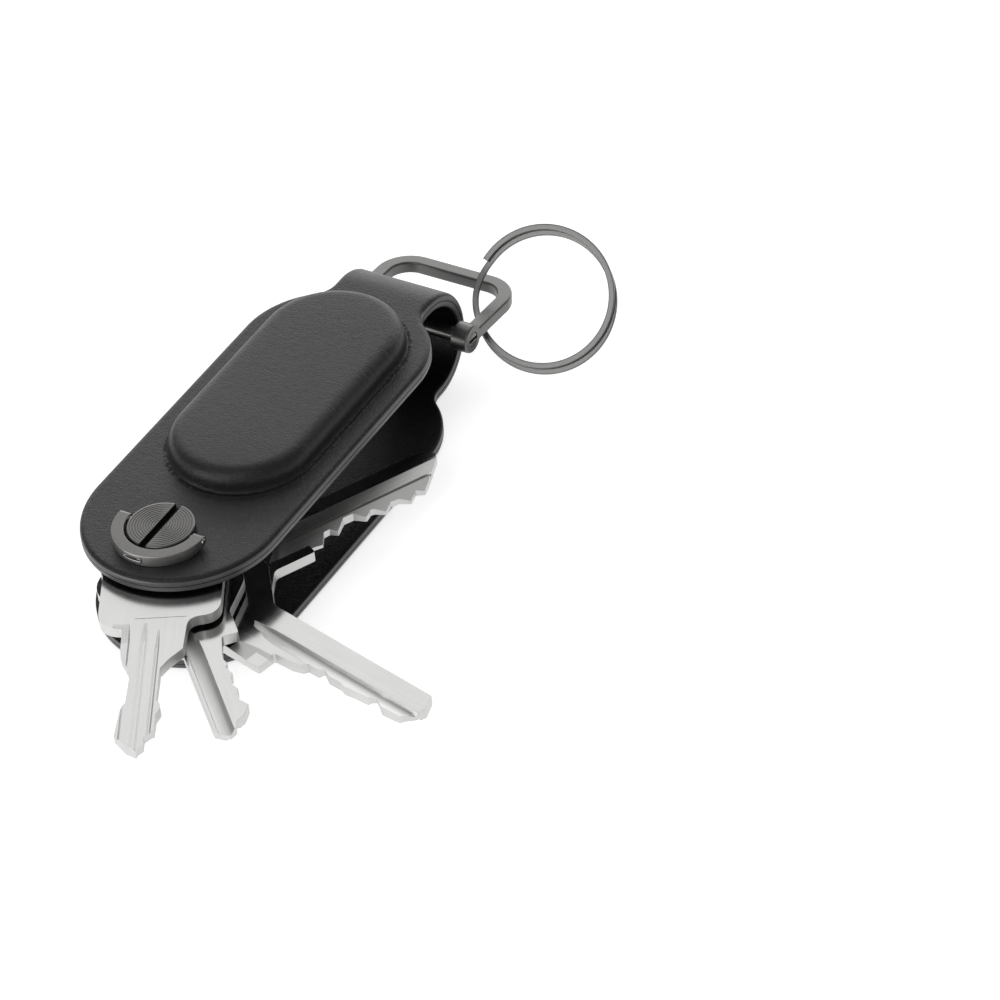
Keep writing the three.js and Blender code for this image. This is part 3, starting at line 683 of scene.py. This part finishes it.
# D-ring: square steel bar bent round two corners, satin brushed and plated gunmetal, with a drilled barrel on
# each end for the pin in the strap's loop. The pin is a slotted rod, flush with the barrels.
ring_half = 0.0149
bar_width = 0.0029
bar_bottom = -0.0014
bar_top = 0.00115
bar_round = 0.00042
corner_x = 0.0077
corner_y = 0.0132
corner_radius = 0.0072
barrel_inner_end = 0.0113
barrel_radius = 0.0029
barrel_round = 0.00035
loop_pin_radius = 0.00145
loop_pin_round = 0.00022
loop_pin_hole = 0.00152
loop_pin_slot = (0.0012, 0.006, 0.0006)
ring_tilt = math.radians(-5.6)
ring_place = Matrix.Translation((0.0008, 0.0853, 0.01125)) @ Matrix.Rotation(ring_tilt, 4, "X")


def bar_edge(inset):
    """The D-ring's edge in its own plane, from the right barrel to the left, set in by a distance."""
    radius = corner_radius - inset
    end = ring_half - inset
    right = arc((corner_x, corner_y), (radius, radius), 0, 90, 16)
    left = arc((-corner_x, corner_y), (radius, radius), 90, 180, 16)
    return [(end, 0)] + right + left + [(-end, 0)]


d_ring = outline_face("d_ring_bar", bar_edge(0) + bar_edge(bar_width)[::-1], bar_bottom)
bpy.ops.object.mode_set(mode="EDIT")
bpy.ops.mesh.select_all(action="SELECT")
lift(bar_top - bar_bottom)
for level in (bar_bottom, bar_top):
    pick(d_ring, "EDGE", lambda a, b: near(a.z, level) and near(b.z, level))
    bpy.ops.mesh.bevel(offset=bar_round, segments=4, affect="EDGES")
bpy.ops.object.mode_set(mode="OBJECT")


def rounded_rod(radius, low, high, rounding):
    """A rod along X from low to high, with both ends rounded."""
    rod = crosswise_rod(48, radius, high - low, ((low + high) / 2, 0, 0))
    pick(rod, "EDGE", lambda a, b: near(a.x, b.x))
    bpy.ops.mesh.bevel(offset=rounding, segments=3, affect="EDGES")
    bpy.ops.object.mode_set(mode="OBJECT")
    return rod


for low, high in ((barrel_inner_end, ring_half), (-ring_half, -barrel_inner_end)):
    cut_away(d_ring, rounded_rod(barrel_radius, low, high, barrel_round), "UNION")
cut_away(d_ring, rounded_rod(loop_pin_hole, low=-0.02, high=0.02, rounding=0.0001))
keep_flats(d_ring, 32)

loop_pin = rounded_rod(loop_pin_radius, -ring_half, ring_half, loop_pin_round)
loop_pin.name = loop_pin.data.name = "loop_pin_slotted"
cut_away(loop_pin, block(loop_pin_slot, (ring_half, 0, 0)))
smooth(loop_pin, 32)
gunmetal = metal_finish("brushed_gunmetal", (0.108, 0.107, 0.105), (0.168, 0.167, 0.164), 0.28, (0.06, 1, 1))
for piece, node, finish, slot in (
    (d_ring, "d_ring", gunmetal, "gunmetal"),
    (loop_pin, "loop_pin", turned_gunmetal, "steel"),
):
    piece.data.transform(ring_place)
    piece.data.materials.append(finish)
    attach(piece, "d_ring")
    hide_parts(node)


# Split ring: two close turns of flattened spring-steel wire, plated gunmetal. The wire crosses over from one
# turn to the other once. The ring is sprung open a little and hangs in the D-ring's corner.
wire_radius = 0.01368
wire_start = math.radians(154)
wire_travel = 674  # degrees
wire_steps = 180
crossover_start = 314
crossover_length = 54
first_turn = Vector((-0.0001, 0.0005, 0.0005))
turn_slip = Vector((0.0004, -0.001, -0.001))  # from the first turn to the second
ring_heading = math.radians(16.6)
ring_lean = math.radians(53.4)
ring_centre = (corner_x + 0.0142, corner_y + 0.0026, 0.00227)
quarter = [(0.0006, 0.00028), (0.00057, 0.0004), (0.0005, 0.00045), (0.0004, 0.00047)]
wire_outline = (
    quarter
    + [(-w, t) for w, t in reversed(quarter)]
    + [(-w, -t) for w, t in quarter]
    + [(w, -t) for w, t in reversed(quarter)]
)
split_ring = outline_face("split_ring_wire", wire_outline, 0)


def crossed(travel):
    """0 on the turn that faces up, 1 on the other, smooth over the crossover."""
    t = min(max((travel - crossover_start) / crossover_length, 0), 1)
    return t * t * (3 - 2 * t)


stand = Matrix.Translation((wire_radius, 0, 0)) @ Matrix.Rotation(math.pi / 2, 4, "X")
start = Matrix.Translation(first_turn) @ Matrix.Rotation(wire_start, 4, "Z")
split_ring.data.transform(start @ stand)
bpy.ops.object.mode_set(mode="EDIT")
bpy.ops.mesh.select_mode(type="FACE")
bpy.ops.mesh.select_all(action="SELECT")
step = wire_travel / wire_steps
for i in range(wire_steps):
    before = crossed(step * i)
    after = crossed(step * (i + 1))
    turn_centre = first_turn + turn_slip * before
    bpy.ops.mesh.extrude_region_move()
    bpy.ops.transform.rotate(value=math.radians(step), orient_axis="Z", center_override=turn_centre)
    bpy.ops.transform.translate(value=turn_slip * (after - before))
bpy.ops.mesh.select_all(action="SELECT")
bpy.ops.mesh.normals_make_consistent(inside=False)
bpy.ops.object.mode_set(mode="OBJECT")
keep_flats(split_ring, 40)
hang = Matrix.Translation(ring_centre) @ Matrix.Rotation(ring_heading, 4, "Z")
split_ring.data.transform(ring_place @ hang @ Matrix.Rotation(ring_lean, 4, "X"))
spring_wire = metal_finish("spring_wire", (0.16, 0.159, 0.157), (0.22, 0.219, 0.217), 0.24, even, bump=0.06)
split_ring.data.materials.append(spring_wire)
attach(split_ring, "split_ring")
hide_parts("split_ring")


# Keys: stamped nickel-silver blanks with milled grooves and cut edges. Each turns on the post, apart from the
# next by a thin spacer, and shows fine grinding marks along its blade.
broken_edge = 0.00012
grinding = (0.05, 1, 1)
scribed_line = (0.00014, 0.0094, 0.0002)
scribed_place = Vector((0.0192, 0.0006, 0.01905))  # along key_1, across it and up
for name, heading, dulled in (
    ("key_1", -61.2, 0.12),
    ("key_2", -43.3, 0.06),
    ("key_3", -13.5, 0.05),
    ("key_4", 62.2, 0.03),
    ("key_5", 68.7, 0.06),
):
    blade_turn = math.radians(heading)
    key = bpy.data.objects.new(name + "_blank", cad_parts[name].data.copy())
    bpy.context.collection.objects.link(key)
    key.data.materials.clear()
    choose(key)
    bpy.ops.object.mode_set(mode="EDIT")
    bpy.ops.mesh.select_all(action="SELECT")
    bpy.ops.mesh.remove_doubles(threshold=1e-6)
    bpy.ops.mesh.dissolve_limited(angle_limit=math.radians(1))
    bpy.ops.object.mode_set(mode="OBJECT")
    if name == "key_1":
        scribe = block(scribed_line, Matrix.Rotation(blade_turn, 3, "Z") @ scribed_place)
        scribe.rotation_euler.z = blade_turn
        cut_away(key, scribe)
    soften(key, broken_edge, 35)
    ground_face = metal_finish(
        name + "_face", (0.51, 0.51, 0.505), (0.62, 0.62, 0.61), dulled, grinding, -blade_turn
    )
    # Cut walls and milled facets are rougher than the flat faces, which is real. Their colour reaching a
    # lighter grey is painted light on the same nickel silver.
    cut_edge = metal_finish(
        name + "_cut", (0.5, 0.5, 0.495), (0.72, 0.72, 0.71), 0.38, grinding, -blade_turn, bump=0.35
    )
    key.data.materials.append(ground_face)
    key.data.materials.append(cut_edge)
    for face in key.data.polygons:
        face.material_index = 0 if abs(face.normal.z) > 0.9995 else 1
    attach(key, name)
    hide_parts(name)


# Inside the clamp: the barrel post, with its flange flush in the lower panel, is turned steel plated like the
# screw. The spacers between the keys and the spring washer under the screw head are plain steel. A firm
# moulded former fills the pod.
steel = metal_finish("plain_steel", (0.3, 0.3, 0.29), (0.45, 0.45, 0.44), 0.22, (0.1, 1, 1))
former, former_shader, former_place = new_finish("pod_former", Roughness=0.8)
connect(former_shader, Base_Color=former_place.noise(900.0).mix((0.05, 0.05, 0.05), (0.09, 0.09, 0.09)))
inside_finishes = {"barrel_post": turned_gunmetal, "pod_core": former}
spacers = ["spacer_base", "spacer_top"] + [f"spacer_{number}" for number in range(1, 5)]
for name in ["barrel_post", "pod_core", "spring_washer"] + spacers:
    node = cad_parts[name]
    node.data.materials.clear()
    node.data.materials.append(inside_finishes.get(name, steel))
